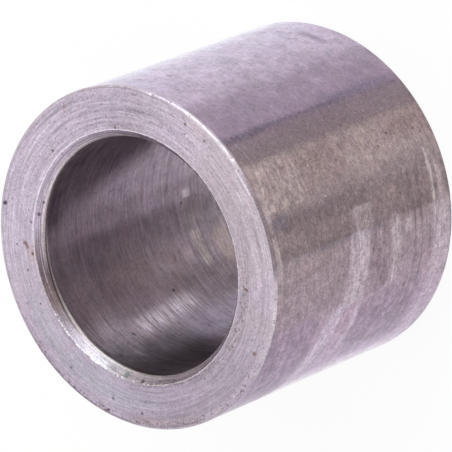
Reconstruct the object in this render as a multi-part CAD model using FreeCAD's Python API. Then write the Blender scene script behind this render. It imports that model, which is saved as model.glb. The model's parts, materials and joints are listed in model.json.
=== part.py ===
import FreeCAD, Part
import os

# Turned steel spacer sleeve: a thick-walled tube, faced square at both ends.
# Sizes are in millimetres. It stands on its rear end, so the rear face lies at Z = 0,
# the front face at Z = length, and the bore runs along the Z axis.

# Driving dimensions
length = 30.0
bore_diameter = 25.0
# The wall is the same all round, so the outside is the bore plus two walls: 36 across.
wall = 5.5
# Both outer corners are broken by a small 45 degree edge.
edge_break = 0.25
# The front mouth of the bore has a 45 degree chamfer with this leg.
mouth_chamfer = 0.72
# Between that chamfer and the bore wall the tool left a narrow, steeper lip.
lip_depth = 0.35
lip_rise = 0.13
# The rear mouth has a plain 45 degree chamfer with this leg.
rear_chamfer = 0.85

axis_point = FreeCAD.Vector(0, 0, 0)
axis_direction = FreeCAD.Vector(0, 0, 1)


def wall_section():
    """Return the corners of the wall's section as (radius, height), once round."""
    bore = bore_diameter / 2
    outer = bore + wall
    lip = bore + lip_rise
    chamfer_foot = length - mouth_chamfer
    rear_mouth = [
        (bore, rear_chamfer),
        (bore + rear_chamfer, 0),
    ]
    outer_wall = [
        (outer - edge_break, 0),
        (outer, edge_break),
        (outer, length - edge_break),
        (outer - edge_break, length),
    ]
    front_mouth = [
        (lip + mouth_chamfer, length),
        (lip, chamfer_foot),
        (bore, chamfer_foot - lip_depth),
    ]
    return rear_mouth + outer_wall + front_mouth


def turned(section):
    """Return the solid that a closed section of (radius, height) corners sweeps about the Z axis."""
    corners = [FreeCAD.Vector(radius, 0, height) for radius, height in section]
    outline = Part.makePolygon(corners + corners[:1])
    return Part.Face(outline).revolve(axis_point, axis_direction, 360)


spacer = turned(wall_section())

os.makedirs("parts", exist_ok=True)
spacer.exportStep("parts/spacer.step")
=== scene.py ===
"""Looks of a turned steel spacer sleeve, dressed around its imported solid."""

import json
import logging
import math
from dataclasses import dataclass, replace
from enum import Enum

import bpy
from mathutils import Matrix, Vector


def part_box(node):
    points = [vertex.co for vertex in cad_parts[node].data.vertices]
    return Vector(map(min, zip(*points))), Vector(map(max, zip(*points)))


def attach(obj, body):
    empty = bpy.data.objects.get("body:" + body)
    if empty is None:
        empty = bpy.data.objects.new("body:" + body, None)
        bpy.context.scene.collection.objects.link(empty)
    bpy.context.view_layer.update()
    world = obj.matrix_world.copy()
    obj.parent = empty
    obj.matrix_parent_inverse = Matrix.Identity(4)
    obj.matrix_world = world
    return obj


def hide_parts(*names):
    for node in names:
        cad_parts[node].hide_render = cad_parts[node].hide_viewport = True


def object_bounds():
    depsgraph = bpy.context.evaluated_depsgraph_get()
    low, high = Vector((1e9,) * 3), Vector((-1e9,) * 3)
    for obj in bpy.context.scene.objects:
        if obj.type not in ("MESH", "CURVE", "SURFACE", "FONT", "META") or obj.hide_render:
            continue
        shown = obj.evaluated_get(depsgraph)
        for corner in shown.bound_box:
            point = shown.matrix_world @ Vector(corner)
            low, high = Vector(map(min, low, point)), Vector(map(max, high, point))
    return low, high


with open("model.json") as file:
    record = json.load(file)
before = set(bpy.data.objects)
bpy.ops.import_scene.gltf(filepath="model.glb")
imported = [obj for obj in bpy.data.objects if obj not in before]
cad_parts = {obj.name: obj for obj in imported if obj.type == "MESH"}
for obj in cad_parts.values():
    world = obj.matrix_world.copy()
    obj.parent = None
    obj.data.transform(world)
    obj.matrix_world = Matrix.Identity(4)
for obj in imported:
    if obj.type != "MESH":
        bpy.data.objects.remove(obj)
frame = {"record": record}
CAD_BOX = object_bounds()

LOG = logging.getLogger("spacer")
MM = 0.001
NODE = "spacer"
BODY = "root"
HALF_TURN = 180.0

# A smooth step holds its own ends, so it needs no clamp. Many clamped masks together would overfill the
# renderer's memory for one shader, and the metal would turn black.
SMOOTH = {"interpolation_type": "SMOOTHSTEP", "clamp": False}

# Nearly all of a noise lies between these two.
NOISE = {"From Min": 0.3, "From Max": 0.7}

# Places of a Mix node's colour sockets, and of the two values that a number Mix or a Compare node takes.
SHARE, UNDER, OVER, MIXED = 0, 6, 7, 2
FIRST, SECOND = 2, 3

Colour = tuple[float, float, float, float]
Socket = bpy.types.NodeSocket
Tree = bpy.types.NodeTree


def linear(colour: str) -> Colour:
    """Turn an sRGB hex colour into linear light.

    Args:
        colour: hex colour such as "#c0b4c6".

    Returns:
        Linear red, green, blue and an alpha of one.
    """
    channels = [int(colour[place:place + 2], 16) / 255 for place in (1, 3, 5)]
    red, green, blue = (c / 12.92 if c <= 0.04045 else ((c + 0.055) / 1.055) ** 2.4 for c in channels)
    return red, green, blue, 1.0


def add(tree: Tree, kind: str, *inputs: object, named: dict | None = None,
        out: int | str = 0, **settings: object) -> Socket:
    """Add a node with its settings, fill its inputs and give back one output.

    Args:
        tree: the tree that gets the node.
        kind: Blender's type name of the node.
        inputs: values or sockets for the first inputs, in order.
        named: values or sockets by input name or place.
        out: name or place of the output to give back.
        settings: the node's own properties.

    Returns:
        The chosen output socket, or the first input of a node that has no output.
    """
    node = tree.nodes.new(kind)
    for name, value in settings.items():
        setattr(node, name, value)
    for place, value in {**dict(enumerate(inputs)), **(named or {})}.items():
        if isinstance(value, bpy.types.NodeSocket):
            tree.links.new(value, node.inputs[place])
        else:
            node.inputs[place].default_value = value
    return node.outputs[out] if len(node.outputs) else node.inputs[0]


def around(radius: float, angle: float, height: float) -> Vector:
    """Find a place by its radius, angle and height.

    Args:
        radius: distance from the axis.
        angle: angle round the axis in degrees.
        height: distance along the axis.

    Returns:
        The place, in the unit of the radius and the height.
    """
    turn = math.radians(angle)
    return Vector((radius * math.cos(turn), radius * math.sin(turn), height))


class Flow(Enum):
    """The way that marks run on a turned surface."""

    RINGS = "round the sleeve, side by side along the radius, as on a faced end"
    THREAD = "round the sleeve, side by side along the height, as on a wall or in a bore"
    EVEN = "the same every way, as grain"


class Zone(Enum):
    """The turned surfaces of the sleeve, by the number that the mesh keeps for each."""

    OUTSIDE = 0
    END = 1
    RIM = 2
    CREST = 3
    MOUTH = 4
    LIP = 5
    BORE = 6
    REAR_END = 7
    REAR_MOUTH = 8


@dataclass(frozen=True)
class SleeveSizes:
    """Sizes of the sleeve in metres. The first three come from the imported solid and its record."""

    outside: float
    bore: float
    length: float
    edge_break: float = 0.25 * MM
    mouth_chamfer: float = 0.72 * MM
    lip_depth: float = 0.35 * MM
    lip_rise: float = 0.13 * MM
    rear_chamfer: float = 0.85 * MM

    @classmethod
    def from_frame(cls) -> "SleeveSizes":
        """Read the length and the shortest outside reach from the solid, and the bore from its mount.

        Returns:
            The sizes that the visual sleeve is built from.
        """
        low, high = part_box(NODE)
        bore = next(mount for mount in frame["record"]["mounts"] if mount["name"] == "bore")
        reach = min(-low.x, -low.y, high.x, high.y)
        return cls(outside=reach, bore=bore["dims"]["r_mm"] * MM, length=high.z - low.z)

    @property
    def mouth(self) -> float:
        """Radius of the front mouth, where the chamfer meets the face."""
        return self.bore + self.lip_rise + self.mouth_chamfer


@dataclass(frozen=True)
class Grain:
    """One kind of mark: how long and wide it is in millimetres, how far it shades, and how deep it is cut."""

    flow: Flow
    along: float
    across: float
    contrast: float = 0.0
    relief: float = 0.0
    angles: tuple[float, float] | None = None


@dataclass(frozen=True)
class Patch:
    """An area of another tone between two angles and two heights or radii, torn into streaks.

    Soft is half the width of the borders at its sides, in degrees, and at its ends, in millimetres. Torn is
    the share of its strength that it loses between the streaks, and the tear is their length and width in
    millimetres. The slant leans its sides in degrees for each millimetre, and the climb leans its ends in
    millimetres for each degree. With no angles it runs all round.
    """

    angles: tuple[float, float] | None
    span: tuple[float, float]
    colour: str
    strength: float
    soft: tuple[float, float] = (3.0, 0.5)
    torn: float = 0.5
    slant: float = 0.0
    climb: float = 0.0
    tear: tuple[float, float] = (6.0, 0.7)


@dataclass(frozen=True)
class Specks:
    """Small pits, glints and specks, strewn all over or between two angles and two radii or heights."""

    size: float
    rarity: float
    strength: float
    colour: str = "#3f3639"
    angles: tuple[float, float] | None = None
    span: tuple[float, float] | None = None


@dataclass(frozen=True)
class Spot:
    """One stain, pit or rust speck at its real place on a turned surface, in millimetres and degrees."""

    radius: float
    angle: float
    height: float
    size: float
    colour: str
    strength: float = 0.8

    @property
    def place(self) -> Vector:
        """Centre of the spot in millimetres."""
        return around(self.radius, self.angle, self.height)


@dataclass(frozen=True)
class TurnedSteel:
    """Bare carbon steel as the tool left it: grey metal whose fine rings stretch highlights across them."""

    name: str
    flow: Flow
    # The tones and patches carry painted reflections, highlights and shade besides the steel's own colour.
    tones: tuple[tuple[float, str], ...]
    roughness: float
    anisotropy: float
    grains: tuple[Grain, ...]
    patches: tuple[Patch, ...] = ()
    specks: tuple[Specks, ...] = ()
    spots: tuple[Spot, ...] = ()
    wander: float = 1.0
    tint: float = 0.05

    def build(self) -> bpy.types.Material:
        """Build the material.

        Returns:
            A metal that reads the object's own coordinates, in millimetres.
        """
        material = bpy.data.materials.new(self.name)
        material.use_nodes = True
        tree = material.node_tree
        tree.nodes.clear()
        place, radius, angle, height = self.coordinates(tree)
        across = radius if self.flow is Flow.RINGS else height
        tears = {tear: self.marks(tree, Grain(self.flow, *tear), place, across)
                 for tear in dict.fromkeys([Patch.tear] + [patch.tear for patch in self.patches])}
        colour = self.tone(tree, angle, tears[Patch.tear])
        for patch in self.patches:
            colour = self.patched(tree, colour, patch, angle, across, tears[patch.tear])
        relief = None
        for grain in self.grains:
            noise = self.marks(tree, grain, place, across)
            colour = self.shaded(tree, colour, grain, noise, angle)
            if grain.relief:
                relief = add(tree, "ShaderNodeMath", noise, grain.relief, relief or 0.0,
                             operation="MULTIPLY_ADD")
        colour = self.tinted(tree, colour, place)
        for specks in self.specks:
            colour = self.specked(tree, colour, specks, place, angle, across)
        for spot in self.spots:
            colour = self.spotted(tree, colour, spot, place)
        self.surface(tree, colour, place, relief)
        return material

    def coordinates(self, tree: Tree) -> tuple[Socket, Socket, Socket, Socket]:
        """Work out where a point lies on the sleeve.

        Args:
            tree: the material's tree.

        Returns:
            The place in millimetres, and the radius, the angle in degrees and the height that it stands for.
        """
        metres = add(tree, "ShaderNodeTexCoord", out="Object")
        place = add(tree, "ShaderNodeVectorMath", metres, named={"Scale": 1 / MM}, operation="SCALE")
        x, y, height = add(tree, "ShaderNodeSeparateXYZ", place).node.outputs
        flat = add(tree, "ShaderNodeCombineXYZ", x, y, 0.0)
        radius = add(tree, "ShaderNodeVectorMath", flat, operation="LENGTH", out="Value")
        turn = add(tree, "ShaderNodeMath", y, x, operation="ARCTAN2")
        angle = add(tree, "ShaderNodeMath", turn, operation="DEGREES")
        return place, radius, angle, height

    def marks(self, tree: Tree, grain: Grain, place: Socket, across: Socket) -> Socket:
        """Make one kind of mark as a noise from nought to one, drawn out the way that it runs.

        Args:
            tree: the material's tree.
            grain: the kind of mark.
            place: the place in millimetres.
            across: the radius or height that marks round the sleeve lie side by side along.

        Returns:
            The noise.
        """
        x, y, height = add(tree, "ShaderNodeSeparateXYZ", place).node.outputs
        if grain.flow is Flow.EVEN:
            third, long = height, grain.across
        else:
            third, long = across, grain.along
        scaled = [add(tree, "ShaderNodeMath", value, 1 / length, operation="MULTIPLY")
                  for value, length in zip((x, y, third), (long, long, grain.across))]
        drawn = add(tree, "ShaderNodeCombineXYZ", *scaled)
        return add(tree, "ShaderNodeTexNoise", drawn, named={"Scale": 1.0, "Detail": 3.0, "Roughness": 0.65})

    def window(self, tree: Tree, value: Socket, span: tuple[float, float], soft: float) -> Socket:
        """Make a mask that is one inside a span and fades to nought over a soft border.

        Args:
            tree: the material's tree.
            value: what the span is measured on.
            span: lower and upper end.
            soft: half the width of each border.

        Returns:
            The mask.
        """
        low, high = span
        rise = add(tree, "ShaderNodeMapRange", value,
                   named={"From Min": low - soft, "From Max": low + soft}, **SMOOTH)
        fall = add(tree, "ShaderNodeMapRange", value,
                   named={"From Min": high + soft, "From Max": high - soft}, **SMOOTH)
        return add(tree, "ShaderNodeMath", rise, fall, operation="MULTIPLY")

    def sector(self, tree: Tree, angle: Socket, angles: tuple[float, float], soft: float) -> Socket:
        """Make a mask that is one between two angles, also where the span runs through half a turn.

        Args:
            tree: the material's tree.
            angle: the angle in degrees.
            angles: first and last angle, the last being the larger.
            soft: half the width of each border, in degrees.

        Returns:
            The mask.
        """
        middle, half = sum(angles) / 2, (angles[1] - angles[0]) / 2
        return self.window(tree, self.turned(tree, angle, middle), (-half, half), soft)

    def turned(self, tree: Tree, angle: Socket, middle: float) -> Socket:
        """Measure an angle from a middle, the shorter way round.

        Args:
            tree: the material's tree.
            angle: the angle in degrees.
            middle: the angle that counts as nought.

        Returns:
            The angle from the middle, within half a turn either way.
        """
        past = add(tree, "ShaderNodeMath", angle, middle, operation="SUBTRACT")
        return add(tree, "ShaderNodeMath", past, HALF_TURN, -HALF_TURN, operation="WRAP")

    def tone(self, tree: Tree, angle: Socket, streaks: Socket) -> Socket:
        """Lay the tones round the sleeve, their borders frayed by the streaks.

        Args:
            tree: the material's tree.
            angle: the angle in degrees.
            streaks: the noise that frays the borders.

        Returns:
            The colour.
        """
        fray = add(tree, "ShaderNodeMapRange", streaks,
                   named={**NOISE, "To Min": -self.wander, "To Max": self.wander}, clamp=False)
        moved = add(tree, "ShaderNodeMath", angle, fray, operation="ADD")
        moved = add(tree, "ShaderNodeMath", moved, HALF_TURN, -HALF_TURN, operation="WRAP")
        share = add(tree, "ShaderNodeMapRange", moved, named={"From Min": -HALF_TURN, "From Max": HALF_TURN},
                    clamp=False)
        ramp = add(tree, "ShaderNodeValToRGB", share).node
        stops = ramp.color_ramp.elements
        closed = self.tones + ((HALF_TURN, self.tones[0][1]),)
        halfway = 0.5
        while len(stops) < len(closed):
            stops.new(halfway)
        for stop, (degrees, colour) in zip(stops, closed):
            stop.position = (degrees + HALF_TURN) / (2 * HALF_TURN)
            stop.color = linear(colour)
        return ramp.outputs["Color"]

    def patched(self, tree: Tree, colour: Socket, patch: Patch, angle: Socket, across: Socket,
                streaks: Socket) -> Socket:
        """Mix a patch's tone in.

        Args:
            tree: the material's tree.
            colour: the colour so far.
            patch: the patch.
            angle: the angle in degrees.
            across: the radius or height that the patch's span is measured on.
            streaks: the noise that tears the patch.

        Returns:
            The colour with the patch.
        """
        gap, streak = 0.41, 0.59
        share = add(tree, "ShaderNodeMapRange", streaks, named={
            "From Min": gap, "From Max": streak, "To Min": (1 - patch.torn) * patch.strength,
            "To Max": patch.strength}, **SMOOTH)
        end = across
        if patch.angles:
            middle, half = sum(patch.angles) / 2, (patch.angles[1] - patch.angles[0]) / 2
            centre = sum(patch.span) / 2
            turned = self.turned(tree, angle, middle)
            lean = add(tree, "ShaderNodeMath", across, -patch.slant, patch.slant * centre,
                       operation="MULTIPLY_ADD")
            side = add(tree, "ShaderNodeMath", turned, lean, operation="ADD")
            sides = self.window(tree, side, (-half, half), patch.soft[0])
            share = add(tree, "ShaderNodeMath", share, sides, operation="MULTIPLY")
            end = add(tree, "ShaderNodeMath", turned, -patch.climb, across, operation="MULTIPLY_ADD")
        ends = self.window(tree, end, patch.span, patch.soft[1])
        share = add(tree, "ShaderNodeMath", share, ends, operation="MULTIPLY")
        return add(tree, "ShaderNodeMix", named={SHARE: share, UNDER: colour, OVER: linear(patch.colour)},
                   out=MIXED, data_type="RGBA")

    def shaded(self, tree: Tree, colour: Socket, grain: Grain, noise: Socket, angle: Socket) -> Socket:
        """Lighten and darken a colour by one kind of mark.

        Args:
            tree: the material's tree.
            colour: the colour so far.
            grain: the kind of mark.
            noise: the mark's noise.
            angle: the angle in degrees.

        Returns:
            The shaded colour.
        """
        sway = add(tree, "ShaderNodeMapRange", noise,
                   named={**NOISE, "To Min": -grain.contrast, "To Max": grain.contrast}, clamp=False)
        if grain.angles:
            border = 4.0
            shown = self.sector(tree, angle, grain.angles, border)
            sway = add(tree, "ShaderNodeMath", sway, shown, operation="MULTIPLY")
        gain = add(tree, "ShaderNodeMath", sway, 1.0, operation="ADD")
        return add(tree, "ShaderNodeVectorMath", colour, named={"Scale": gain}, operation="SCALE")

    def tinted(self, tree: Tree, colour: Socket, place: Socket) -> Socket:
        """Turn the hue a little from place to place, finely and in clouds, between lilac and warm grey.

        Args:
            tree: the material's tree.
            colour: the colour so far.
            place: the place in millimetres.

        Returns:
            The tinted colour.
        """
        fine, cloud = 0.45, 2.6
        full, part = 1.0, 0.7
        stretch = 2.5
        for size, share in ((fine, full), (cloud, part)):
            hues = add(tree, "ShaderNodeTexNoise", place, named={"Scale": 1 / size, "Detail": 3.0},
                       out="Color")
            gain = stretch * self.tint * share
            base = 1 - gain / 2
            turned = add(tree, "ShaderNodeVectorMath", hues, (gain, gain, gain), (base, base, base),
                         operation="MULTIPLY_ADD")
            colour = add(tree, "ShaderNodeVectorMath", colour, turned, operation="MULTIPLY")
        return colour

    def specked(self, tree: Tree, colour: Socket, specks: Specks, place: Socket, angle: Socket,
                across: Socket) -> Socket:
        """Strew specks over a colour.

        Args:
            tree: the material's tree.
            colour: the colour so far.
            specks: the kind of speck.
            place: the place in millimetres.
            angle: the angle in degrees.
            across: the radius or height that the specks' span is measured on.

        Returns:
            The colour with the specks.
        """
        noise = add(tree, "ShaderNodeTexNoise", place, named={"Scale": 1 / specks.size, "Detail": 1.5})
        edge = 0.1
        share = add(tree, "ShaderNodeMapRange", noise, named={
            "From Min": specks.rarity, "From Max": specks.rarity + edge, "To Max": specks.strength}, **SMOOTH)
        side_border, end_border = 8.0, 0.25
        if specks.angles:
            sides = self.sector(tree, angle, specks.angles, side_border)
            share = add(tree, "ShaderNodeMath", share, sides, operation="MULTIPLY")
        if specks.span:
            ends = self.window(tree, across, specks.span, end_border)
            share = add(tree, "ShaderNodeMath", share, ends, operation="MULTIPLY")
        return add(tree, "ShaderNodeMix", named={SHARE: share, UNDER: colour, OVER: linear(specks.colour)},
                   out=MIXED, data_type="RGBA")

    def spotted(self, tree: Tree, colour: Socket, spot: Spot, place: Socket) -> Socket:
        """Mix one spot in, its border broken by a fine noise.

        Args:
            tree: the material's tree.
            colour: the colour so far.
            spot: the spot.
            place: the place in millimetres.

        Returns:
            The colour with the spot.
        """
        outer, inner, teeth = 0.3, 0.12, 2
        ragged = add(tree, "ShaderNodeTexNoise", place, named={"Scale": teeth / spot.size, "Detail": 2.0})
        away = add(tree, "ShaderNodeVectorMath", place, spot.place, operation="DISTANCE", out="Value")
        bent = add(tree, "ShaderNodeMath", away, ragged, operation="MULTIPLY")
        share = add(tree, "ShaderNodeMapRange", bent, named={
            "From Min": spot.size * outer, "From Max": spot.size * inner, "To Max": spot.strength}, **SMOOTH)
        return add(tree, "ShaderNodeMix", named={SHARE: share, UNDER: colour, OVER: linear(spot.colour)},
                   out=MIXED, data_type="RGBA")

    def surface(self, tree: Tree, colour: Socket, place: Socket, relief: Socket | None) -> None:
        """Set the metal's shader, with the marks' relief and gloss.

        Args:
            tree: the material's tree.
            colour: the finished colour.
            place: the place in millimetres.
            relief: height of the marks in millimetres, if any is cut deep enough to show.
        """
        cloud, sway = 1.2, 0.05
        noise = add(tree, "ShaderNodeTexNoise", place, named={"Scale": 1 / cloud, "Detail": 3.0})
        rough = add(tree, "ShaderNodeMapRange", noise,
                    named={**NOISE, "To Min": self.roughness - sway, "To Max": self.roughness + sway})
        tangent = add(tree, "ShaderNodeTangent", direction_type="RADIAL", axis="Z")
        quarter_turn = 0.25
        parts = {"Base Color": colour, "Metallic": 1.0, "Roughness": rough, "Tangent": tangent,
                 "Anisotropic": self.anisotropy, "Anisotropic Rotation": quarter_turn}
        if relief:
            parts["Normal"] = add(tree, "ShaderNodeBump", named={"Distance": MM, "Height": relief})
        shader = add(tree, "ShaderNodeBsdfPrincipled", named=parts)
        add(tree, "ShaderNodeOutputMaterial", shader)


DARK = "#4a4044"
RUST = "#7a4a33"

# Marks finer than about a tenth of a millimetre don't show in the render, so the finest is drawn that wide.

# Drawn and then skimmed: a dull wall with tone bands along the axis, wiped streaks and short tool flecks.
# Most of the bands are painted reflections of the surroundings, with painted glare by the two outlines.
OUTSIDE_STEEL = TurnedSteel(
    name="drawn_steel_outside_painted_reflections",
    flow=Flow.THREAD,
    # Painted reflections: the tones round the wall, nearly white by the outlines near -180 and -5 degrees.
    tones=(
        (-180, "#ebdff0"), (-172, "#dfd0e4"), (-160, "#bca5c1"), (-140, "#b49db0"), (-130, "#a995a3"),
        (-122, "#a28f9a"), (-112, "#a19097"), (-109.3, "#9d8c91"), (-108.6, "#857579"), (-101, "#8f7e80"),
        (-94, "#908184"), (-87, "#a39192"), (-80, "#9e8a8c"), (-76.3, "#a08e90"), (-75.5, "#86767b"),
        (-67, "#86757f"), (-65.8, "#82727f"), (-64.0, "#968496"), (-55, "#a593a5"), (-50, "#a797a9"),
        (-45, "#baaabe"), (-38, "#bfb0c5"), (-22, "#d2c6dc"), (-12, "#e7e2f2"), (-5, "#fcf9ff"),
        (12, "#cfc4d3"), (40, "#ab9cac"), (85, "#9c8e98"), (130, "#a999a8"), (150, "#b5a7b6"),
        (166, "#cbbecd"),
    ),
    roughness=0.34,
    anisotropy=0.5,
    grains=(
        Grain(Flow.THREAD, 5.0, 0.3, 0.14, 0.002, (-185, -104)),
        Grain(Flow.THREAD, 1.3, 0.2, 0.13, 0.002, (-132, -76)),
        Grain(Flow.EVEN, 0.6, 0.6, 0.1, 0.0, (-185, -76)),
        Grain(Flow.THREAD, 4.0, 0.5, 0.04, 0.001),
        Grain(Flow.EVEN, 1.3, 1.3, 0.13, 0.0, (-66, 20)),
        Grain(Flow.EVEN, 0.9, 0.9, 0.2, 0.0, (-185, -76)),
        Grain(Flow.EVEN, 0.4, 0.4, 0.14, 0.001, (-185, -62)),
        Grain(Flow.EVEN, 0.2, 0.2, 0.18, 0.001, (-185, -62)),
        Grain(Flow.EVEN, 0.35, 0.35, 0.15, 0.001, (-62, 175)),
        Grain(Flow.EVEN, 2.0, 2.0, 0.1, 0.0, (-62, 20)),
        Grain(Flow.EVEN, 3.0, 3.0, 0.09),
    ),
    # Most of these patches are painted reflections: dark and light bands and streaks mirrored on the wall.
    patches=(
        Patch((-67.0, -64.4), (22.5, 29.6), "#62586a", 0.8, (1.0, 1.8), 0.5, slant=-0.1, tear=(0.6, 0.35)),
        Patch((-65.8, -64.4), (10.0, 24.0), "#685d70", 0.7, (0.7, 2.5), 0.5, tear=(0.6, 0.35)),
        Patch((-65.4, -62.6), (2.0, 12.0), "#766b84", 0.6, (1.2, 2.0), 0.3, tear=(0.6, 0.35)),
        Patch((-63.0, -49.0), (3.0, 31.0), "#94849c", 0.3, (4.0, 3.0), 0.3),
        Patch((-40.0, -29.5), (3.1, 4.2), "#82748a", 0.75, (1.8, 0.3), 0.35, climb=-0.03),
        Patch((-75.5, -65.8), (27.95, 28.15), "#a899a4", 0.45, (1.0, 0.08), 0.3, climb=0.05),
        # Painted highlight: widens the rim's bright line down onto the wall.
        Patch((-72.0, -42.0), (29.6, 29.9), "#efe6f0", 0.45, (5.0, 0.06), 0.3),
        Patch((-123.0, -84.0), (28.85, 29.6), "#c6b7b9", 0.6, (3.0, 0.12), 0.5, tear=(2.0, 0.3)),
        Patch((-92.5, -75.6), (22.2, 29.3), "#b8a9a6", 0.65, (0.7, 0.3), 1.0, tear=(1.2, 0.5)),
        Patch((-92.0, -76.2), (7.5, 14.5), "#b6a6a2", 0.45, (3.0, 2.0), 0.9, tear=(1.2, 0.4)),
        Patch((-90.0, -76.5), (15.0, 22.0), "#8a7672", 0.4, (3.0, 1.0), 0.6, tear=(2.5, 0.6)),
        Patch((-84.0, -76.5), (0.5, 7.0), "#88726f", 0.45, (3.0, 1.0), 0.5, tear=(2.5, 0.6)),
        Patch((-101.0, -95.0), (12.5, 29.6), "#6a5f64", 0.55, (2.0, 3.0), 0.35),
        Patch((-98.4, -94.4), (26.8, 29.2), "#6a6676", 0.5, (1.5, 0.6), 0.4, tear=(0.6, 0.35)),
        Patch((-108.4, -100.6), (13.4, 16.6), "#b0a2a6", 0.65, (0.5, 0.4), 0.5, tear=(2.5, 0.3)),
        Patch((-110.2, -108.8), (12.0, 27.0), "#837b88", 0.5, (0.5, 3.0), 0.3),
        Patch((-133.5, -108.6), (14.6, 17.9), "#cfc2cc", 0.7, (0.8, 0.4), 0.6, climb=-0.04, tear=(4.0, 0.3)),
        Patch((-131.0, -109.0), (18.6, 29.4), "#97868a", 0.4, (2.0, 0.8), 0.7, tear=(1.6, 0.3)),
        Patch((-131.0, -109.0), (10.9, 13.8), "#7f6d76", 0.55, (2.0, 0.5), 0.7, tear=(1.6, 0.4)),
        Patch((-130.0, -109.0), (10.15, 10.4), "#dccbd4", 0.4, (3.0, 0.08), 0.8, climb=0.02, tear=(2.0, 0.2)),
        Patch((-131.0, -108.0), (9.0, 10.7), "#c9bbc4", 0.55, (1.5, 0.4), 0.7, tear=(4.0, 0.3)),
        Patch((-155.0, -96.0), (6.35, 6.65), "#6e5f66", 0.6, (3.0, 0.12), 0.6),
        Patch((-150.0, -96.0), (5.2, 5.45), "#6e5f66", 0.6, (3.0, 0.12), 0.6),
        Patch((-114.5, -110.3), (7.1, 8.2), "#c9bbc0", 0.6, (0.8, 0.3), 0.4),
        Patch((-176.5, -133.5), (21.6, 29.8), "#83718a", 0.65, (5.5, 0.8), 0.45, climb=0.02, tear=(1.6, 0.8)),
        Patch((-157.0, -133.5), (4.5, 15.0), "#8b798c", 0.6, (4.0, 1.2), 0.4, tear=(1.6, 0.8)),
        Patch((-162.0, -132.5), (18.6, 21.1), "#d3c5d6", 0.7, (3.0, 0.5), 0.45, climb=-0.07, tear=(4.0, 0.4)),
        Patch((-154.0, -134.0), (15.1, 15.9), "#cfc1d2", 0.6, (3.0, 0.3), 0.5, climb=-0.03, tear=(4.0, 0.3)),
        # Painted glare: a near white band by the outline, where the wall mirrors the white surroundings.
        Patch((-206.0, -180.0), (-2.0, 32.0), "#ece2ef", 0.5, (18.0, 1.0), 0.1),
        Patch((-186.0, -168.5), (2.5, 21.2), "#fbf2ff", 0.9, (9.0, 2.2), 0.1),
        Patch((-183.0, -175.0), (-2.0, 21.0), "#fdf8ff", 0.9, (6.0, 2.0), 0.1),
        Patch((-178.0, -109.0), (0.5, 3.4), "#d3c5d2", 0.6, (4.0, 0.4), 0.6, tear=(4.0, 0.3)),
        Patch((-108.0, -90.3), (2.55, 3.1), "#cbbdbf", 0.65, (0.8, 0.15), 0.4, climb=-0.02),
        Patch((-110.0, -89.3), (0.8, 2.2), "#b9a9ac", 0.65, (0.7, 0.3), 0.7, tear=(4.0, 0.2)),
    ),
    specks=(
        Specks(0.5, 0.62, 0.28, "#6e6068"),
        Specks(0.3, 0.69, 0.65, "#463b40"),
        Specks(0.26, 0.71, 0.5, "#e8dfe6", (-140, -20)),
        Specks(0.6, 0.62, 0.35, "#7a6c80", (-50, -10), (1.0, 29.0)),
        Specks(0.34, 0.66, 0.6, "#5a4a58", (-185, -108), (1.0, 29.0)),
    ),
    spots=(
        Spot(18.0, -81.9, 7.18, 0.42, "#54413f", 0.7),
        Spot(18.0, -84.9, 9.27, 0.36, "#54413f", 0.7),
        Spot(18.0, -83.5, 2.91, 0.34, "#5d4a48", 0.7),
        Spot(18.0, -85.3, 2.1, 0.34, "#5d4a48", 0.6),
        Spot(18.0, -84.2, 16.23, 0.3, DARK, 0.7),
        Spot(18.0, -101.8, 8.38, 0.3, DARK, 0.6),
        Spot(18.0, -96.8, 6.53, 0.3, DARK, 0.6),
        Spot(18.0, -134.2, 7.5, 0.6, "#554a52", 0.6),
        Spot(18.0, -28.0, 24.4, 0.7, "#6f6577", 0.6),
        Spot(18.0, -93.6, 19.9, 0.24, "#e6dede", 0.6),
        Spot(18.0, -82.5, 20.6, 0.24, "#e0d6d0", 0.6),
    ),
    wander=0.4,
    tint=0.045,
)
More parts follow.
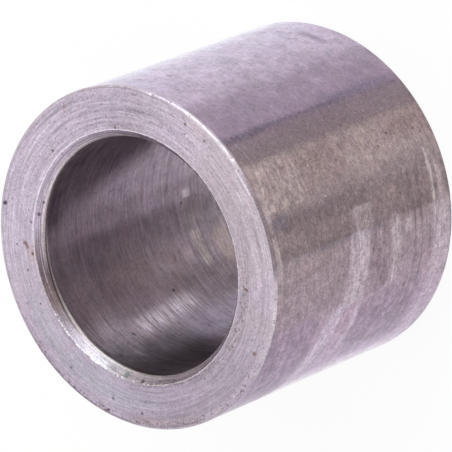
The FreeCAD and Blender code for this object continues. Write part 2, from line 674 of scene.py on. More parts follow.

# Faced off square: fine light and dark rings, up to half a millimetre apart, with a few rust specks.
# Its tones round the face are partly painted reflection, and a few light arcs and a white line by the rim
# are painted highlights.
END_STEEL = TurnedSteel(
    name="faced_steel_end",
    flow=Flow.RINGS,
    tones=(
        (-180, "#afa2b1"), (-150, "#b2a6b3"), (-125, "#c1b4c1"), (-105, "#c4b7c3"), (-85, "#c3b6c0"),
        (-55, "#c6b9c6"), (-30, "#bcb0be"), (-5, "#c5b8c8"), (30, "#cabdcc"), (60, "#cbc0d0"),
        (85, "#c9bbca"), (110, "#b8abbb"), (140, "#b8acbd"), (165, "#b1a4b4"),
    ),
    roughness=0.42,
    anisotropy=0.6,
    grains=(
        Grain(Flow.RINGS, 12.0, 0.45, 0.1, 0.008),
        Grain(Flow.RINGS, 6.0, 0.16, 0.16, 0.004),
        Grain(Flow.RINGS, 5.0, 0.2, 0.16, 0.004, (-60, 75)),
        Grain(Flow.RINGS, 1.2, 0.16, 0.12),
        Grain(Flow.EVEN, 0.24, 0.24, 0.2, 0.002),
        Grain(Flow.EVEN, 0.9, 0.9, 0.08),
    ),
    patches=(
        Patch((-107, -91), (16.3, 16.7), "#90858e", 0.55, (3.0, 0.12), 0.4),
        # Painted highlights: two light arcs near the rim, and a white line along it that widens the rim's
        # bright line.
        Patch((-86.5, -81), (16.1, 16.3), "#f4e9f4", 0.6, (1.5, 0.08), 0.4),
        Patch((-84, -75), (17.4, 17.58), "#f6ebf6", 0.65, (2.0, 0.07), 0.4),
        Patch((-72, -38), (17.7, 17.84), "#ffffff", 0.95, (6.0, 0.04), 0.25, climb=0.004, tear=(1.6, 0.3)),
        Patch((152, 180), (16.8, 17.6), "#b3a0a2", 0.5, (6.0, 0.3), 0.5),
        Patch((-178, -136), (17.2, 17.75), "#d6c7d2", 0.5, (8.0, 0.15), 0.4),
        Patch((68, 75), (13.4, 14.4), "#c9a99c", 0.35, (2.0, 0.2), 0.4),
        Patch((-42, -24), (15.55, 15.75), "#988d9b", 0.5, (3.0, 0.06), 0.3),
        Patch((-152, -110), (13.7, 14.6), "#93868a", 0.55, (5.0, 0.3), 0.95, tear=(1.4, 0.22)),
        Patch((-32, -14), (13.5, 14.1), "#93868c", 0.5, (3.0, 0.2), 0.9, tear=(1.4, 0.22)),
        Patch((-112, -66), (13.0, 15.1), "#a4969f", 0.35, (12.0, 0.9), 0.3),
        Patch((100, 152), (17.6, 17.82), "#7f747a", 0.75, (4.0, 0.06), 0.4, tear=(2.0, 0.2)),
        Patch((152, 182), (17.55, 17.8), "#8d8086", 0.6, (4.0, 0.08), 0.8, tear=(1.0, 0.2)),
        Patch((148, 166), (14.0, 14.15), "#8f848c", 0.55, (2.0, 0.05), 0.4),
        Patch((-12, 58), (16.95, 17.2), "#a093a3", 0.45, (8.0, 0.1), 0.5),
        Patch((14, 40), (16.15, 16.4), "#efe5f1", 0.45, (4.0, 0.08), 0.8, tear=(3.0, 0.15)),
        Patch((-28, 20), (15.35, 15.6), "#9c90a0", 0.45, (8.0, 0.08), 0.4),
        Patch((20, 110), (17.45, 17.62), "#a296a3", 0.5, (8.0, 0.06), 0.5),
        Patch((85, 160), (14.4, 16.4), "#b1b2ba", 0.4, (18.0, 0.8), 0.3),
        Patch((150, 200), (13.36, 13.6), "#6b5f63", 0.7, (8.0, 0.06), 1.0, tear=(0.7, 0.14)),
    ),
    specks=(
        Specks(0.5, 0.63, 0.3, "#7d7079"),
        Specks(0.32, 0.7, 0.65, "#4d4045"),
        Specks(0.26, 0.55, 0.65, "#554850", (98, 212), (17.15, 17.75)),
        Specks(0.28, 0.56, 0.6, "#6b5856", (-172, -105), (13.5, 14.4)),
        Specks(0.28, 0.57, 0.55, "#6b5856", (-36, -12), (13.5, 14.0)),
        Specks(0.3, 0.61, 0.5, "#6c6069", (-60, 60), (13.7, 17.6)),
        Specks(0.24, 0.66, 0.6, "#5a4d55", (60, 212), (13.6, 17.6)),
    ),
    spots=(
        Spot(14.6, 67.2, 30.0, 0.6, RUST, 0.7),
        Spot(14.3, 68.6, 30.0, 0.5, RUST, 0.6),
        Spot(13.68, 71.6, 30.0, 0.42, "#6b4433", 0.85),
        Spot(17.0, 4.6, 30.0, 0.5, "#8a6355", 0.4),
        Spot(16.6, 5.5, 30.0, 0.36, "#8a6355", 0.4),
        Spot(13.59, -17.2, 30.0, 0.35, DARK, 0.7),
        Spot(16.77, -50.6, 30.0, 0.34, "#6e4a40", 0.8),
        Spot(16.72, -60.0, 30.0, 0.34, "#6e4a40", 0.7),
        Spot(14.35, -119.3, 30.0, 0.36, "#6e4a40", 0.85),
        Spot(14.1, -119.0, 30.0, 0.3, "#6e4a40", 0.8),
        Spot(16.75, -142.0, 30.0, 0.45, "#74564c", 0.75),
        Spot(17.37, 53.8, 30.0, 0.5, "#3c3538", 0.9),
        Spot(17.25, 53.2, 30.0, 0.3, DARK, 0.8),
        Spot(13.76, 57.3, 30.0, 0.35, DARK, 0.7),
        Spot(14.25, 20.9, 30.0, 0.36, DARK, 0.75),
        Spot(15.72, 68.0, 30.0, 0.3, DARK, 0.6),
        Spot(14.78, 78.4, 30.0, 0.36, DARK, 0.75),
        Spot(14.6, 92.8, 30.0, 0.3, DARK, 0.65),
        Spot(15.95, 120.0, 30.0, 0.34, "#6d6a6e", 0.75),
        Spot(15.9, 141.5, 30.0, 0.4, "#6d6a6e", 0.75),
        Spot(16.5, 155.0, 30.0, 0.36, DARK, 0.75),
        Spot(17.45, 140.2, 30.0, 0.4, DARK, 0.8),
        Spot(17.7, -157.5, 30.0, 0.4, "#3c3538", 0.85),
    ),
    tint=0.035,
)

# The broken outer corner, rounded by handling: it throws one thin bright line.
# Its tones round the corner are partly painted reflection.
RIM_STEEL = TurnedSteel(
    name="broken_steel_rim",
    flow=Flow.THREAD,
    tones=(
        (-180, "#b9adba"), (-160, "#b0a3b1"), (-125, "#d2c6d1"), (-115, "#cabdc7"), (-110, "#8b7d84"),
        (-88, "#8a7b84"), (-78, "#b3a5af"), (-70, "#9c969c"), (-40, "#9a929f"), (-30, "#c6bcc7"),
        (-10, "#c6bbc3"), (60, "#b4a7b6"), (120, "#a99ba9"),
    ),
    roughness=0.32,
    anisotropy=0.4,
    grains=(Grain(Flow.THREAD, 1.2, 0.12, 0.22, 0.005), Grain(Flow.EVEN, 0.25, 0.25, 0.2, 0.005)),
    # Painted shade: the top of the corner is darkened so that the bright line stays thin.
    patches=(Patch((-60, 0), (29.92, 30.1), "#8d8290", 0.5, (8.0, 0.03), 0.3),),
    specks=(Specks(0.3, 0.66, 0.75), Specks(0.35, 0.6, 0.7, "#5c4f52", (-210, -150))),
)

# The crest between face and chamfer: one fine light line, a painted highlight, with painted white dashes
# where the lamp catches it and darker dashes past them.
CREST_STEEL = TurnedSteel(
    name="crest_steel_painted_highlight",
    flow=Flow.RINGS,
    tones=(
        (-180, "#c9bec7"), (-100, "#d8ccd7"), (0, "#e6dce8"), (60, "#e6dce8"), (85, "#c6bac1"),
        (96, "#a89ea5"), (110, "#98909a"), (135, "#98909a"), (150, "#aaa0a6"), (170, "#bfb4bb"),
    ),
    roughness=0.36,
    anisotropy=0.4,
    grains=(Grain(Flow.RINGS, 1.6, 0.3, 0.2), Grain(Flow.EVEN, 0.3, 0.3, 0.3, 0.006)),
    # Painted highlight: white dashes where the lamp catches the crest, and darker dashes past them.
    patches=(
        Patch((99, 134), (13.2, 13.7), "#ffffff", 0.6, (3.0, 0.05), 1.0, tear=(0.4, 0.3)),
        Patch((136, 176), (13.2, 13.7), "#e9e0e4", 0.6, (4.0, 0.05), 1.0, tear=(0.35, 0.3)),
        Patch((148, 178), (13.2, 13.7), "#6d6166", 0.6, (5.0, 0.05), 1.0, tear=(0.3, 0.35)),
    ),
    specks=(Specks(0.3, 0.63, 0.6, "#6b5d63"),),
)

# The chamfered mouth: coarse tool rings that break the highlight into lines.
# Its tones round the mouth are partly painted reflection, dark between about 70 and 100 degrees.
MOUTH_STEEL = TurnedSteel(
    name="chamfered_steel_mouth",
    flow=Flow.RINGS,
    tones=(
        (-180, "#b6a7b0"), (-110, "#b3a6b3"), (-60, "#a999a8"), (-10, "#aea0b2"), (40, "#beb1c2"),
        (60, "#bcaec1"), (72, "#8c7b84"), (84, "#6e5f66"), (95, "#7b6c74"), (102, "#8b838c"),
        (115, "#847e89"), (130, "#8b888f"), (140, "#7d797e"), (150, "#a79fa5"), (175, "#9e929b"),
    ),
    roughness=0.34,
    anisotropy=0.6,
    grains=(
        Grain(Flow.RINGS, 7.0, 0.12, 0.3, 0.012),
        Grain(Flow.RINGS, 1.6, 0.09, 0.25, 0.008),
        Grain(Flow.EVEN, 0.22, 0.22, 0.22, 0.006),
    ),
    patches=(
        Patch((-40, 108), (13.02, 13.07), "#6f6169", 0.6, (6.0, 0.025), 0.3),
        Patch((-40, 150), (12.86, 12.91), "#6f6169", 0.6, (6.0, 0.025), 0.3),
        Patch((-40, 90), (12.92, 13.01), "#d3c7d3", 0.5, (6.0, 0.02), 0.3),
        Patch((-40, 76), (12.62, 12.85), "#d8ccd0", 0.6, (6.0, 0.03), 0.3),
        # Painted shade: dark lines where the chamfer meets the lip.
        Patch((86, 108), (12.6, 12.85), "#5f5157", 0.4, (5.0, 0.05), 0.4, tear=(1.6, 0.1)),
        Patch((94, 114), (12.6, 12.71), "#5a4d53", 0.75, (4.0, 0.03), 0.2),
        Patch((84, 100), (12.7, 13.3), "#957f74", 0.45, (4.0, 0.1), 0.7, tear=(1.4, 0.12)),
        # Painted highlight: a faint light patch in the lamp's highlight.
        Patch((114, 134), (12.66, 13.3), "#f4f2f8", 0.12, (5.0, 0.08), 0.6, tear=(1.6, 0.1)),
        Patch((136, 146), (12.85, 13.2), "#6f6769", 0.35, (4.0, 0.08), 0.8, tear=(1.6, 0.1)),
    ),
    specks=(Specks(0.3, 0.66, 0.6), Specks(0.4, 0.6, 0.5, "#5b4d4e", (148, 176))),
    spots=(
        Spot(13.07, 53.0, 29.7, 0.5, DARK, 0.75),
        Spot(12.85, 46.8, 29.5, 0.4, DARK, 0.7),
        Spot(12.95, 145.8, 29.6, 0.8, "#5f6b66", 0.7),
        Spot(13.1, 155.5, 29.8, 0.5, DARK, 0.7),
    ),
)

# The narrow lip behind the chamfer: its tones are a painted highlight where the chamfer's highlight runs on,
# and its foot is painted dark as shade where it turns into the bore.
LIP_STEEL = TurnedSteel(
    name="lip_steel_painted_highlight_and_shade",
    flow=Flow.THREAD,
    # Painted highlight: the tones near white between about 110 and 145 degrees.
    tones=(
        (-180, "#b3a6a9"), (-60, "#bdb0b6"), (0, "#cfc3c8"), (60, "#d9cbcd"), (70, "#bfb0b2"),
        (78, "#a29394"), (88, "#a39593"), (95, "#b1a5a3"), (103, "#cfc7c6"), (112, "#e2dbda"),
        (122, "#f7f1f1"), (132, "#f7f2f2"), (142, "#e6dfdc"), (150, "#dcd2d0"), (175, "#bdb2b3"),
    ),
    roughness=0.48,
    anisotropy=0.8,
    grains=(Grain(Flow.THREAD, 5.0, 0.12, 0.2, 0.004), Grain(Flow.EVEN, 0.3, 0.3, 0.18, 0.003)),
    # Painted shade: dark bands at the lip's foot, where it turns into the bore.
    patches=(
        Patch((-70, 56), (28.5, 29.14), "#51464c", 0.9, (6.0, 0.03), 0.1),
        Patch((52, 112), (29.08, 29.25), "#43363b", 0.9, (5.0, 0.04), 0.15, climb=0.006),
        Patch((112, 178), (28.6, 29.04), "#4b4145", 0.85, (9.0, 0.06), 0.2),
    ),
)

# Bored through: deep feed lines, so a lamp shows as a long streak down the wall.
# The streak is partly painted highlight, and the tones and most patches are painted reflection and shade:
# darker near the mouth, lighter deep inside.
BORE_STEEL = TurnedSteel(
    name="bored_steel_wall_painted_light",
    flow=Flow.THREAD,
    # Partly painted reflection: the tones round the bore.
    tones=(
        (-180, "#a79ba7"), (0, "#b3a4b4"), (50, "#b1a0b0"), (69, "#a896a5"), (75, "#8c7b85"),
        (85, "#82737c"), (95, "#937f84"), (106, "#8e7b83"), (114, "#8a7b85"), (124, "#918490"),
        (136, "#a99cab"),
    ),
    roughness=0.42,
    anisotropy=0.95,
    grains=(
        Grain(Flow.THREAD, 9.0, 0.5, 0.12, 0.011),
        Grain(Flow.THREAD, 6.0, 0.2, 0.16, 0.007),
        Grain(Flow.THREAD, 2.0, 0.12, 0.2, 0.003),
        Grain(Flow.EVEN, 0.35, 0.35, 0.14),
        Grain(Flow.EVEN, 3.0, 3.0, 0.12),
    ),
    patches=(
        # Painted reflection and shade: lighter deep inside, darker near the mouth.
        Patch(None, (-60.0, 11.0), "#e8dce8", 0.4, (0.0, 11.0), 0.3),
        Patch(None, (21.0, 90.0), "#7a6d76", 0.65, (0.0, 8.0), 0.3),
        Patch((36, 71), (2.0, 24.0), "#cfc0cf", 0.42, (3.0, 6.0), 0.3),
        Patch((71, 87), (2.0, 13.0), "#7a7075", 0.45, (3.0, 3.0), 0.4),
        Patch((104, 122), (0.0, 14.5), "#776466", 0.5, (5.0, 3.0), 0.4),
        Patch((60, 80), (-5.0, 24.5), "#5a4050", 0.3, (5.0, 3.0), 0.15),
        Patch((60, 112), (27.0, 29.5), "#6a5b5e", 0.2, (5.0, 0.8), 0.4),
        # Painted shade and reflection: dark areas near the mouth and down the far side.
        Patch((106, 150), (27.0, 29.5), "#574a51", 0.6, (6.0, 0.5), 0.4, tear=(4.0, 0.14)),
        Patch((124, 170), (28.45, 29.5), "#3b3236", 0.75, (5.0, 0.2), 0.2),
        Patch((-40, 48), (10.0, 31.0), "#6a5b65", 0.74, (10.0, 5.0), 0.15, slant=1.8),
        Patch((-20, 60), (26.8, 29.5), "#63555e", 0.5, (6.0, 1.0), 0.4),
        Patch((42, 61), (27.3, 28.8), "#443940", 0.55, (3.0, 0.3), 0.4),
        Patch((130, 150), (17.0, 31.0), "#5f5b5e", 0.75, (6.0, 3.5), 0.3, slant=-0.4),
        Patch((145, 220), (20.0, 38.0), "#4a4144", 0.85, (8.0, 3.5), 0.15, climb=0.1),
        # Painted highlight: the lamp's streak down the wall, made lighter and torn into bright lines.
        Patch((128, 148), (4.0, 16.0), "#c8bcd4", 0.5, (5.0, 3.0), 0.25),
        Patch((115, 130), (10.0, 28.6), "#c5b9c8", 0.25, (5.0, 2.5), 0.6, tear=(5.0, 0.4)),
        Patch((117, 126), (11.5, 22.2), "#fff2ff", 0.75, (4.0, 1.5), 0.95, slant=0.4, tear=(3.0, 0.12)),
        Patch((112, 134), (23.0, 28.4), "#cfc7d0", 0.28, (6.0, 1.0), 1.0, tear=(4.0, 0.1)),
        Patch((126, 150), (22.0, 28.6), "#5f5459", 0.35, (6.0, 1.5), 0.5),
        Patch((87, 106), (5.3, 6.7), "#e6dacf", 0.55, (2.0, 0.25), 0.8, tear=(1.6, 0.3)),
        Patch((90, 108), (1.2, 3.6), "#d8c4b4", 0.4, (3.0, 0.5), 0.6, tear=(3.0, 0.3)),
        Patch((66.5, 70.6), (5.5, 6.7), "#efe0e8", 0.5, (0.6, 0.15), 0.3),
        Patch((60, 106), (5.1, 5.35), "#5d5158", 0.5, (2.0, 0.1), 0.5),
    ),
    specks=(Specks(0.45, 0.66, 0.4),),
    spots=(
        Spot(12.5, 125.1, 23.2, 0.6, "#2f282b", 0.55),
        Spot(12.5, 111.2, 13.5, 0.42, "#3a3235", 0.75),
        Spot(12.5, 72.7, 7.1, 0.4, "#3f3539", 0.7),
    ),
    tint=0.07,
)

# The hidden rear is turned the same way, in almost one tone all round.
REAR_TONES = ((-180, "#b9adba"), (0, "#c2b6c2"))
REAR_END_STEEL = replace(END_STEEL, name="faced_steel_rear", tones=REAR_TONES, patches=(), spots=(),
                         specks=END_STEEL.specks[:2])
REAR_MOUTH_STEEL = replace(MOUTH_STEEL, name="chamfered_steel_rear", tones=REAR_TONES, patches=(), spots=(),
                           specks=MOUTH_STEEL.specks[:1])

FINISHES = {
    Zone.OUTSIDE: OUTSIDE_STEEL,
    Zone.END: END_STEEL,
    Zone.RIM: RIM_STEEL,
    Zone.CREST: CREST_STEEL,
    Zone.MOUTH: MOUTH_STEEL,
    Zone.LIP: LIP_STEEL,
    Zone.BORE: BORE_STEEL,
    Zone.REAR_END: REAR_END_STEEL,
    Zone.REAR_MOUTH: REAR_MOUTH_STEEL,
}


@dataclass(frozen=True)
class Nick:
    """A small dent pressed in along the normal, or a burr where its depth is negative, in millimetres."""

    radius: float
    angle: float
    height: float
    size: float
    depth: float

    @property
    def place(self) -> Vector:
        """Centre of the nick in metres."""
        return around(self.radius, self.angle, self.height) * MM


@dataclass(frozen=True)
class Corner:
    """A corner of the section, and the line that runs from it to the next one."""

    radius: Socket | float
    height: Socket | float
    zone: Zone
    steps: int
    ripple: float = 0.0
    bulge: float = 0.0


@dataclass
class TurnedSleeve:
    """The sleeve's skin: each line of the section is swept once round the axis, and the strips are joined."""

    sizes: SleeveSizes
    steps_round: int = 720
    mouth_jitter: float = 0.05 * MM
    mouth_tooth: float = 0.32 * MM
    mouth_runout: float = 0.12 * MM
    runout_angle: float = 40.0
    crest: float = 0.07 * MM
    rounding: float = 0.02 * MM
    ripple: float = 0.005 * MM
    seed: int = 7
    nicks: tuple[Nick, ...] = (
        Nick(17.7, -157.5, 29.95, 0.42, 0.16),
        Nick(17.85, -57.0, 29.9, 0.2, 0.03),
        Nick(17.85, -50.2, 29.95, 0.2, 0.06),
        Nick(17.85, -34.8, 29.95, 0.22, 0.06),
        Nick(17.9, -71.5, 29.85, 0.25, 0.03),
        Nick(17.9, -119.0, 29.9, 0.35, 0.07),
        Nick(12.55, 15.9, 28.95, 0.3, -0.08),
    )

    def build(self) -> bpy.types.Object:
        """Build the tree, turn its result into a plain mesh and dress it.

        Returns:
            The finished sleeve at the origin.
        """
        tree = self.tree()
        carrier = bpy.data.objects.new("sleeve_carrier", bpy.data.meshes.new("sleeve_carrier"))
        bpy.context.scene.collection.objects.link(carrier)
        modifier = carrier.modifiers.new("turning", "NODES")
        modifier.node_group = tree
        values = {**self.named_sizes(), **{finish.name: finish.build() for finish in FINISHES.values()}}
        for item in tree.interface.items_tree:
            if item.in_out == "INPUT":
                modifier[item.identifier] = values[item.name]
        graph = bpy.context.evaluated_depsgraph_get()
        mesh = bpy.data.meshes.new_from_object(carrier.evaluated_get(graph))
        bpy.data.objects.remove(carrier)
        crease = 20
        mesh.set_sharp_from_angle(angle=math.radians(crease))
        mesh.name = "spacer_sleeve"
        sleeve = bpy.data.objects.new("spacer_sleeve", mesh)
        bpy.context.scene.collection.objects.link(sleeve)
        return sleeve

    def named_sizes(self) -> dict[str, float | int]:
        """Give the tree's inputs from the sleeve's sizes.

        Returns:
            Each size by the name of the input that takes it.
        """
        sizes = self.sizes
        return {
            "Outside radius": sizes.outside,
            "Bore radius": sizes.bore,
            "Length": sizes.length,
            "Edge break": sizes.edge_break,
            "Mouth chamfer": sizes.mouth_chamfer,
            "Lip depth": sizes.lip_depth,
            "Lip rise": sizes.lip_rise,
            "Rear chamfer": sizes.rear_chamfer,
            "Crest": self.crest,
            "Mouth jitter": self.mouth_jitter,
            "Mouth runout": self.mouth_runout,
            "Steps round": self.steps_round,
            "Seed": self.seed,
        }

    def tree(self) -> Tree:
        """Build the Geometry Nodes tree that turns the section into a closed skin.

        Returns:
            The tree.
        """
        tree = bpy.data.node_groups.new("turned_sleeve", "GeometryNodeTree")
        tree.interface.new_socket("Sleeve", in_out="OUTPUT", socket_type="NodeSocketGeometry")
        for name, value in self.named_sizes().items():
            kind = "NodeSocketInt" if isinstance(value, int) else "NodeSocketFloat"
            tree.interface.new_socket(name, in_out="INPUT", socket_type=kind)
        for finish in FINISHES.values():
            tree.interface.new_socket(finish.name, in_out="INPUT", socket_type="NodeSocketMaterial")
        given = add(tree, "NodeGroupInput").node.outputs
        skin = self.strips(tree, given)
        skin = self.worn(tree, given, skin)
        skin = add(tree, "GeometryNodeSetShadeSmooth", skin)
        skin = add(tree, "GeometryNodeRealizeInstances", skin)
        number = add(tree, "GeometryNodeInputNamedAttribute", "zone", data_type="INT")
        for zone, finish in FINISHES.items():
            chosen = add(tree, "FunctionNodeCompare", named={FIRST: number, SECOND: zone.value},
                         data_type="INT", operation="EQUAL")
            skin = add(tree, "GeometryNodeSetMaterial", skin, chosen, given[finish.name])
        add(tree, "NodeGroupOutput", skin)
        return tree

    def corners(self, tree: Tree, given: bpy.types.NodeOutputs) -> tuple[Corner, ...]:
        """Work out the section's corners, once round from the rear mouth.

        Args:
            tree: the sleeve's tree.
            given: the tree's inputs.

        Returns:
            The corners, each with the line that follows it.
        """
        bore, outside, length = given["Bore radius"], given["Outside radius"], given["Length"]
        edge, chamfer, rear = given["Edge break"], given["Mouth chamfer"], given["Rear chamfer"]
        rear_mouth = add(tree, "ShaderNodeMath", bore, rear, operation="ADD")
        end = add(tree, "ShaderNodeMath", outside, edge, operation="SUBTRACT")
        shoulder = add(tree, "ShaderNodeMath", length, edge, operation="SUBTRACT")
        lip = add(tree, "ShaderNodeMath", bore, given["Lip rise"], operation="ADD")
        mouth = add(tree, "ShaderNodeMath", lip, chamfer, operation="ADD")
        crest_top = add(tree, "ShaderNodeMath", mouth, given["Crest"], operation="ADD")
        crest_foot = add(tree, "ShaderNodeMath", mouth, given["Crest"], operation="SUBTRACT")
        crest_depth = add(tree, "ShaderNodeMath", length, given["Crest"], operation="SUBTRACT")
        foot = add(tree, "ShaderNodeMath", length, chamfer, operation="SUBTRACT")
        ledge = add(tree, "ShaderNodeMath", foot, given["Lip depth"], operation="SUBTRACT")
        return (
            Corner(bore, rear, Zone.REAR_MOUTH, steps=5),
            Corner(rear_mouth, 0.0, Zone.REAR_END, steps=8),
            Corner(end, 0.0, Zone.RIM, steps=5, bulge=self.rounding),
            Corner(outside, edge, Zone.OUTSIDE, steps=12),
            Corner(outside, shoulder, Zone.RIM, steps=8, bulge=self.rounding),
            Corner(end, length, Zone.END, steps=40),
            Corner(crest_top, length, Zone.CREST, steps=4, bulge=self.rounding),
            Corner(crest_foot, crest_depth, Zone.MOUTH, steps=14, ripple=self.ripple),
            Corner(lip, foot, Zone.LIP, steps=4),
            Corner(bore, ledge, Zone.BORE, steps=12),
        )

    def strips(self, tree: Tree, given: bpy.types.NodeOutputs) -> Socket:
        """Make one strip for each line of the section and join them into one closed skin.

        Args:
            tree: the sleeve's tree.
            given: the tree's inputs.

        Returns:
            The skin.
        """
        route = self.corners(tree, given)
        swept = self.sweep_group()
        joined = add(tree, "GeometryNodeJoinGeometry").node
        for start, end in zip(route, route[1:] + route[:1]):
            strip = add(tree, "GeometryNodeGroup", start.radius, start.height, end.radius, end.height,
                        start.steps, given["Steps round"], start.zone.value, start.ripple, start.bulge,
                        node_tree=swept)
            tree.links.new(strip, joined.inputs[0])
        seam = 0.001 * MM
        return add(tree, "GeometryNodeMergeByDistance", joined.outputs[0], named={"Distance": seam})

    def sweep_group(self) -> Tree:
        """Build the group that sweeps one line of the section round the axis.

        Returns:
            The group, whose inputs are the line's two ends, its steps, its zone, its ripple and its bulge.
        """
        tree = bpy.data.node_groups.new("swept_strip", "GeometryNodeTree")
        tree.interface.new_socket("Strip", in_out="OUTPUT", socket_type="NodeSocketGeometry")
        for name in ("Start radius", "Start height", "End radius", "End height"):
            tree.interface.new_socket(name, in_out="INPUT", socket_type="NodeSocketFloat")
        for name in ("Steps across", "Steps round", "Zone"):
            tree.interface.new_socket(name, in_out="INPUT", socket_type="NodeSocketInt")
        for name in ("Ripple", "Bulge"):
            tree.interface.new_socket(name, in_out="INPUT", socket_type="NodeSocketFloat")
        given = add(tree, "NodeGroupInput").node.outputs
        across = add(tree, "ShaderNodeMath", given["Steps across"], 1.0, operation="ADD")
        about = add(tree, "ShaderNodeMath", given["Steps round"], 1.0, operation="ADD")
        grid = add(tree, "GeometryNodeMeshGrid", 1.0, 1.0, across, about)
        split = add(tree, "ShaderNodeSeparateXYZ", add(tree, "GeometryNodeInputPosition")).node
        half = 0.5
        share = add(tree, "ShaderNodeMath", split.outputs[0], half, operation="ADD")
        turn = add(tree, "ShaderNodeMath", split.outputs[1], -math.tau, operation="MULTIPLY")
        radius = add(tree, "ShaderNodeMix", share,
                     named={FIRST: given["Start radius"], SECOND: given["End radius"]})
        height = add(tree, "ShaderNodeMix", share,
                     named={FIRST: given["Start height"], SECOND: given["End height"]})
        run = add(tree, "ShaderNodeMath", given["Start radius"], given["End radius"], operation="SUBTRACT")
        rise = add(tree, "ShaderNodeMath", given["End height"], given["Start height"], operation="SUBTRACT")
        outward = add(tree, "ShaderNodeVectorMath", add(tree, "ShaderNodeCombineXYZ", rise, run, 0.0),
                      operation="NORMALIZE")
        waves = 4
        phase = add(tree, "ShaderNodeMath", share, math.tau * waves, operation="MULTIPLY")
        wave = add(tree, "ShaderNodeMath", add(tree, "ShaderNodeMath", phase, operation="SINE"),
                   given["Ripple"], operation="MULTIPLY")
        rest = add(tree, "ShaderNodeMath", 1.0, share, operation="SUBTRACT")
        arch = add(tree, "ShaderNodeMath", share, rest, operation="MULTIPLY")
        arch_top = 0.25
        crown = add(tree, "ShaderNodeMath", arch, 1 / arch_top, operation="MULTIPLY")
        push = add(tree, "ShaderNodeMath", crown, given["Bulge"], wave, operation="MULTIPLY_ADD")
        moved = add(tree, "ShaderNodeVectorMath", outward, named={"Scale": push}, operation="SCALE")
        pushed = add(tree, "ShaderNodeSeparateXYZ", moved).node
        radius = add(tree, "ShaderNodeMath", radius, pushed.outputs[0], operation="ADD")
        height = add(tree, "ShaderNodeMath", height, pushed.outputs[1], operation="ADD")
        x = add(tree, "ShaderNodeMath", radius, add(tree, "ShaderNodeMath", turn, operation="COSINE"),
                operation="MULTIPLY")
        y = add(tree, "ShaderNodeMath", radius, add(tree, "ShaderNodeMath", turn, operation="SINE"),
                operation="MULTIPLY")
        swept = add(tree, "GeometryNodeSetPosition", grid,
                    named={"Position": add(tree, "ShaderNodeCombineXYZ", x, y, height)})
        kept = add(tree, "GeometryNodeStoreNamedAttribute", swept,
                   named={"Name": "zone", "Value": given["Zone"]}, data_type="INT", domain="FACE")
        add(tree, "NodeGroupOutput", kept)
        return tree

    def worn(self, tree: Tree, given: bpy.types.NodeOutputs, skin: Socket) -> Socket:
        """Make the mouth's edge run out and waver, and press the nicks in.

        Args:
            tree: the sleeve's tree.
            given: the tree's inputs.
            skin: the skin as turned.

        Returns:
            The worn skin.
        """
        place = add(tree, "GeometryNodeInputPosition")
        x, y, height = add(tree, "ShaderNodeSeparateXYZ", place).node.outputs
        flat = add(tree, "ShaderNodeCombineXYZ", x, y, 0.0)
        radius = add(tree, "ShaderNodeVectorMath", flat, operation="LENGTH", out="Value")
        outward = add(tree, "ShaderNodeVectorMath", flat, operation="NORMALIZE")
        section = add(tree, "ShaderNodeCombineXYZ", radius, height, 0.0)
        corner = (self.sizes.mouth, self.sizes.length, 0.0)
        away = add(tree, "ShaderNodeVectorMath", section, corner, operation="DISTANCE", out="Value")
        close, wide = 0.22 * MM, 0.7 * MM
        near = add(tree, "ShaderNodeMapRange", away, named={"From Min": close, "From Max": 0.0}, **SMOOTH)
        broad = add(tree, "ShaderNodeMapRange", away, named={"From Min": wide, "From Max": 0.0}, **SMOOTH)
        noise = add(tree, "ShaderNodeTexNoise", named={
            "Vector": place, "W": given["Seed"], "Scale": 1 / self.mouth_tooth, "Detail": 2.0},
            noise_dimensions="4D")
        jitter = add(tree, "ShaderNodeMapRange", noise, named={**NOISE, "To Min": -1.0, "To Max": 1.0})
        jitter = add(tree, "ShaderNodeMath", jitter, given["Mouth jitter"], operation="MULTIPLY")
        jitter = add(tree, "ShaderNodeMath", jitter, near, operation="MULTIPLY")
        shake = add(tree, "ShaderNodeVectorMath", outward, named={"Scale": jitter}, operation="SCALE")
        aside = add(tree, "ShaderNodeMath", given["Mouth runout"], broad, operation="MULTIPLY")
        lean = add(tree, "ShaderNodeVectorMath", around(1.0, self.runout_angle, 0.0),
                   named={"Scale": aside}, operation="SCALE")
        shift = add(tree, "ShaderNodeVectorMath", shake, lean, operation="ADD")
        normal = add(tree, "GeometryNodeInputNormal")
        for nick in self.nicks:
            gap = add(tree, "ShaderNodeVectorMath", place, nick.place, operation="DISTANCE", out="Value")
            depth = add(tree, "ShaderNodeMapRange", gap, named={
                "From Min": nick.size * MM, "From Max": 0.0, "To Max": -nick.depth * MM}, **SMOOTH)
            press = add(tree, "ShaderNodeVectorMath", normal, named={"Scale": depth}, operation="SCALE")
            shift = add(tree, "ShaderNodeVectorMath", shift, press, operation="ADD")
        return add(tree, "GeometryNodeSetPosition", skin, named={"Offset": shift})


@dataclass(frozen=True)
class Softbox:
    """A large soft lamp that looks at the sleeve, in metres and degrees."""

    name: str
    azimuth: float
    elevation: float
    distance: float
    width: float
    height: float
    radiance: float
    tilt: float = 0.0
    colour: str = "#ffffff"

    def build(self) -> None:
        """Build the lamp, its power worked out from how bright its face is."""
        lamp = bpy.data.lights.new(self.name, "AREA")
        lamp.shape = "RECTANGLE"
        lamp.size, lamp.size_y = self.width, self.height
        lamp.energy = self.radiance * self.width * self.height * math.pi
        lamp.color = linear(self.colour)[:3]
        up = math.radians(self.elevation)
        away = around(math.cos(up), self.azimuth, math.sin(up))
        turned = away.to_track_quat("Z", "Y").to_matrix() @ Matrix.Rotation(math.radians(self.tilt), 3, "Z")
        aim = Vector((0, 0, CAD_BOX[1].z))
        place = bpy.data.objects.new(self.name, lamp)
        place.matrix_world = Matrix.Translation(aim + away * self.distance) @ turned.to_4x4()
        place.visible_camera = False
        bpy.context.scene.collection.objects.link(place)


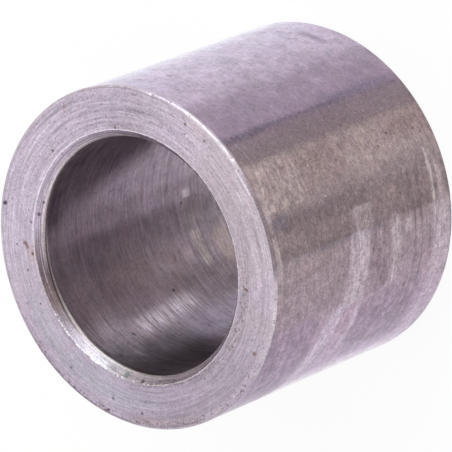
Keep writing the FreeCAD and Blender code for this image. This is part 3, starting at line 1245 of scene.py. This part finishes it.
@dataclass(frozen=True)
class Studio:
    """A white floor, a white surround and the softboxes."""

    floor_colour: str = "#f7f7f7"
    floor_glow: float = 0.9
    floor_half: float = 1.4
    surround: float = 0.85
    softboxes: tuple[Softbox, ...] = (
        Softbox("key_softbox", azimuth=-27, elevation=34, distance=0.6, width=0.56, height=0.26, radiance=4.0,
                tilt=-28),
    )

    def build(self) -> None:
        """Build the floor, the surround and the lamps."""
        self.floor()
        self.world()
        for softbox in self.softboxes:
            softbox.build()

    def floor(self) -> None:
        """Lay a matt white floor under the sleeve, which keeps the sleeve's shadow."""
        half = self.floor_half
        corners = [(-half, -half, 0), (half, -half, 0), (half, half, 0), (-half, half, 0)]
        mesh = bpy.data.meshes.new("floor")
        mesh.from_pydata(corners, [], [(0, 1, 2, 3)])
        floor = bpy.data.objects.new("floor", mesh)
        bpy.context.scene.collection.objects.link(floor)
        material = bpy.data.materials.new("matt_white_paper")
        material.use_nodes = True
        tree = material.node_tree
        tree.nodes.clear()
        paper = add(tree, "ShaderNodeBsdfDiffuse", linear(self.floor_colour))
        glow = add(tree, "ShaderNodeEmission", (1, 1, 1, 1), 1.0)
        share = add(tree, "ShaderNodeMath", self.seen(tree), self.floor_glow, operation="MULTIPLY")
        add(tree, "ShaderNodeOutputMaterial", add(tree, "ShaderNodeMixShader", share, paper, glow))
        mesh.materials.append(material)

    def seen(self, tree: Tree) -> Socket:
        """Tell the rays that show the background from those that light the object.

        Args:
            tree: the tree of the floor or the world.

        Returns:
            One for a ray that shows the background, nought for any other.
        """
        path = add(tree, "ShaderNodeLightPath").node
        shown = add(tree, "ShaderNodeMath", path.outputs["Is Camera Ray"], path.outputs["Is Glossy Ray"],
                    operation="MAXIMUM")
        return add(tree, "ShaderNodeMath", shown, path.outputs["Is Transmission Ray"], operation="MAXIMUM")

    def world(self) -> None:
        """Surround the sleeve with soft white, which the camera and the metal see at full white."""
        world = bpy.data.worlds.new("white_surround")
        bpy.context.scene.world = world
        world.use_nodes = True
        tree = world.node_tree
        tree.nodes.clear()
        strength = add(tree, "ShaderNodeMapRange", self.seen(tree),
                       named={"To Min": self.surround, "To Max": 1.0})
        sky = add(tree, "ShaderNodeBackground", (1, 1, 1, 1), strength)
        add(tree, "ShaderNodeOutputWorld", sky)


@dataclass(frozen=True)
class PhotoCamera:
    """The photograph's view: from above the front mouth, rolled so that the axis lies over.

    Its sizes are in millimetres and its angles in degrees.
    """

    aim: Vector = Vector((-0.29, 0.211, 15.0))
    distance: float = 544.68
    elevation: float = 48.516
    roll: float = -111.521
    lens: float = 420.03
    sensor: float = 36.0
    nearest: float = 10.0
    farthest: float = 10000.0

    def build(self) -> None:
        """Build the camera and make it the scene's."""
        camera = bpy.data.cameras.new("photo_camera")
        camera.sensor_width = self.sensor
        camera.lens = self.lens
        camera.clip_start, camera.clip_end = self.nearest * MM, self.farthest * MM
        up = math.radians(self.elevation)
        back = Vector((0, -math.cos(up), math.sin(up)))
        level = back.to_track_quat("Z", "Y").to_matrix()
        turned = level @ Matrix.Rotation(math.radians(self.roll), 3, "Z")
        place = bpy.data.objects.new("photo_camera", camera)
        place.matrix_world = Matrix.Translation((self.aim + back * self.distance) * MM) @ turned.to_4x4()
        bpy.context.scene.collection.objects.link(place)
        bpy.context.scene.camera = place


def main() -> None:
    """Build the camera, the studio and the sleeve, and report the sleeve's faces and finishes."""
    logging.basicConfig(level=logging.INFO, format="%(name)s: %(message)s")
    bpy.context.scene.view_settings.view_transform = "Standard"
    PhotoCamera().build()
    Studio().build()
    sleeve = TurnedSleeve(SleeveSizes.from_frame()).build()
    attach(sleeve, BODY)
    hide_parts(NODE)
    LOG.info("%s: %d faces, %d finishes", sleeve.name, len(sleeve.data.polygons), len(sleeve.data.materials))


if __name__ == "__main__":
    main()
